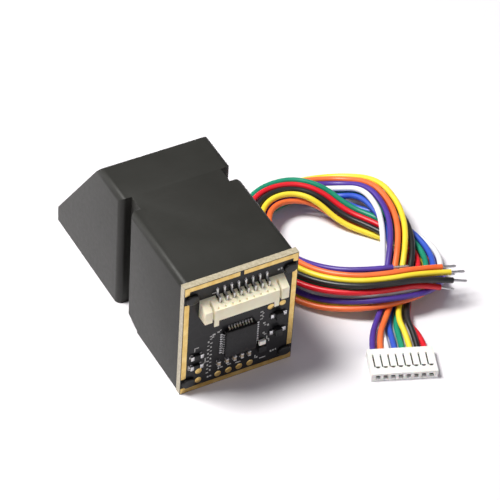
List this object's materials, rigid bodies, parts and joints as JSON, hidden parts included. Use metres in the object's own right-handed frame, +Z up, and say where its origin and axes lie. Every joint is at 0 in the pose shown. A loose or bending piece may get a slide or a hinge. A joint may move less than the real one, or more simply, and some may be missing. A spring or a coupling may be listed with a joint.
{
  "type": "optical fingerprint reader module",
  "caption": "Wedge-nosed black optical fingerprint reader with a glass window, side grooves and a circuit board end, beside its loose multi-way lead.",
  "frame": {"origin": "middle of the reader's footprint, on the face that it rests on", "axes": "+X to the right seen from the circuit board end, +Y from the circuit board towards the window nose, +Z up"},
  "size_m": [0.0541, 0.0597, 0.0233],
  "materials": {
    "housing": "fine matt texture",
    "prism": "polished",
    "gasket": "matt",
    "solder_mask": "satin",
    "led_resin": "gloss",
    "diffuser": "matt",
    "black_plastic": "matt",
    "flex_film": "gloss",
    "connector_plastic": "satin",
    "header_plastic": "satin",
    "chip_resin": "matt",
    "optical_glass": "polished",
    "gold_plate": "polished",
    "tin": "satin",
    "ceramic": "matt",
    "plug_plastic": "satin",
    "insulation_violet": "satin",
    "insulation_orange": "satin",
    "insulation_white": "satin",
    "insulation_blue": "satin",
    "insulation_green": "satin",
    "insulation_yellow": "satin",
    "insulation_black": "satin",
    "insulation_red": "satin"
  },
  "bodies": {
    "module": {"housing": "housing", "stake_heads": "housing", "prism": "prism", "prism_gasket": "gasket", "led_board": "solder_mask", "illumination_leds": "led_resin", "light_diffuser": "diffuser", "prism_cradle": "black_plastic", "led_flex": "flex_film", "flex_connector": "connector_plastic", "light_baffle": "black_plastic", "image_sensor": "chip_resin", "sensor_glass": "optical_glass", "lens_holder": "black_plastic", "infrared_filter": "optical_glass", "main_board": "solder_mask", "gold_border": "gold_plate", "test_pads": "gold_plate", "processor": "chip_resin", "processor_leads": "tin", "diodes": "chip_resin", "diode_terminals": "tin", "status_led": "led_resin", "transistor": "chip_resin", "resistors": "chip_resin", "capacitors": "ceramic", "chip_terminals": "tin", "memory_chip": "chip_resin", "crystal": "tin", "voltage_regulator": "chip_resin", "header_body": "header_plastic", "header_contacts": "tin", "header_tabs": "tin"},
    "lens": {"lens_barrel": "black_plastic", "lens_ring": "black_plastic", "front_lens": "optical_glass", "rear_lens": "optical_glass"},
    "harness": {"plug_housing": "plug_plastic", "plug_contacts": "tin", "wire_violet": "insulation_violet", "wire_orange": "insulation_orange", "wire_white": "insulation_white", "wire_blue": "insulation_blue", "wire_green": "insulation_green", "wire_yellow": "insulation_yellow", "wire_black": "insulation_black", "wire_red": "insulation_red", "wire_tips": "tin"}
  },
  "joints": [
    {"name": "lens_focus", "type": "hinge", "parent": "module", "child": "lens", "pos_m": [0, -0.0144, 0.013], "axis": [0, 1, 0], "range_deg": [-90, 90]},
    {"name": "harness_lift", "type": "slide", "parent": "module", "child": "harness", "axis": [0, 0, 1], "range_m": [0, 0.03]}
  ]
}
